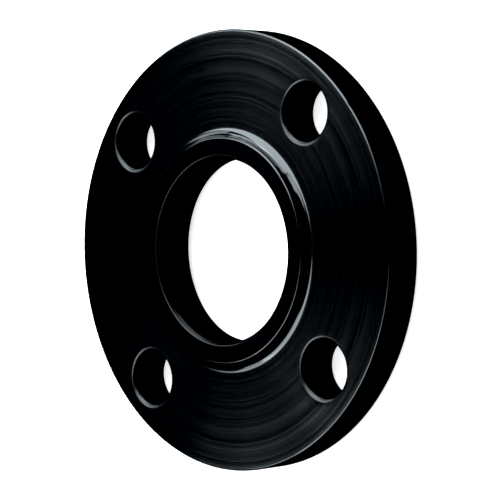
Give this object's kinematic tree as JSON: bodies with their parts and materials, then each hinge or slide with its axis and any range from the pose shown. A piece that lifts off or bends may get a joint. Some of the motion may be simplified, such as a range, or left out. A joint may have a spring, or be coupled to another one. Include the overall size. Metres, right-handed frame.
{
  "type": "slip on flange",
  "caption": "Round flat-faced slip on pipe flange: a bored steel ring with a low hub and a circle of bolt holes.",
  "frame": {"origin": "centre of the gasket face, on the axis of the bore", "axes": "+Z along the bore axis from the gasket face to the hub; the bolt holes straddle +X and +Y"},
  "size_m": [0.1524, 0.1524, 0.0174],
  "materials": {
    "black_varnish": "thin semi-gloss black rust guard over turned steel"
  },
  "bodies": {
    "root": {"flange": "black_varnish"}
  },
  "joints": []
}
